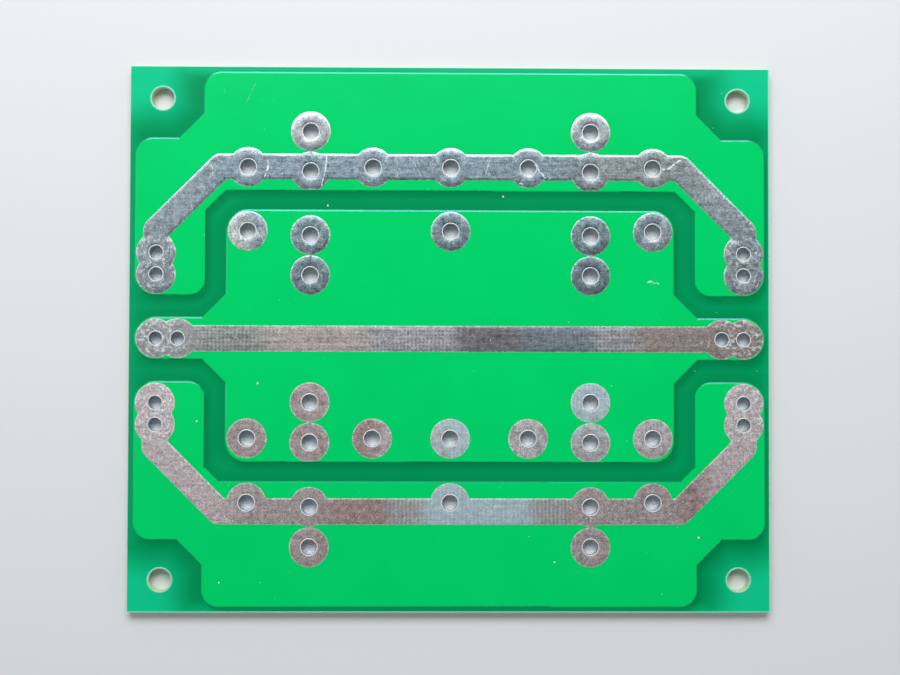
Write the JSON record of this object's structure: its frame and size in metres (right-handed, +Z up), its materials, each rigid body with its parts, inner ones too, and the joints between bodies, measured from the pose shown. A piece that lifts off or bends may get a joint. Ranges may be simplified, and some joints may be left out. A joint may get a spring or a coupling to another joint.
{
  "type": "printed circuit board",
  "caption": "Bare printed circuit board for capacitor banks: wide tinned rails, round pads and drilled holes on green-masked copper pours, with a screw hole in each corner.",
  "frame": {"origin": "centre of the board's underside, the component side, on which it lies", "axes": "+X along the long side, +Y towards the upper rail, +Z up out of the solder side"},
  "size_m": [0.1, 0.085, 0.0017],
  "materials": {
    "laminate": "glass-epoxy laminate, cut edge",
    "mask": "green solder mask, satin gloss",
    "tin": "hot-air levelled tin, dull bright"
  },
  "bodies": {
    "root": {"laminate": "laminate", "lower_pad_centre_tin": "tin", "lower_pad_inner_left_tin": "tin", "lower_pad_inner_right_tin": "tin", "lower_pad_outer_left_tin": "tin", "lower_pad_outer_right_tin": "tin", "lower_pair_left_tin": "tin", "lower_pair_right_tin": "tin", "lower_rail_tin": "tin", "middle_rail_tin": "tin", "solder_mask": "mask", "upper_pad_centre_tin": "tin", "upper_pad_left_tin": "tin", "upper_pad_right_tin": "tin", "upper_pair_left_tin": "tin", "upper_pair_right_tin": "tin", "upper_rail_tin": "tin"}
  },
  "joints": []
}
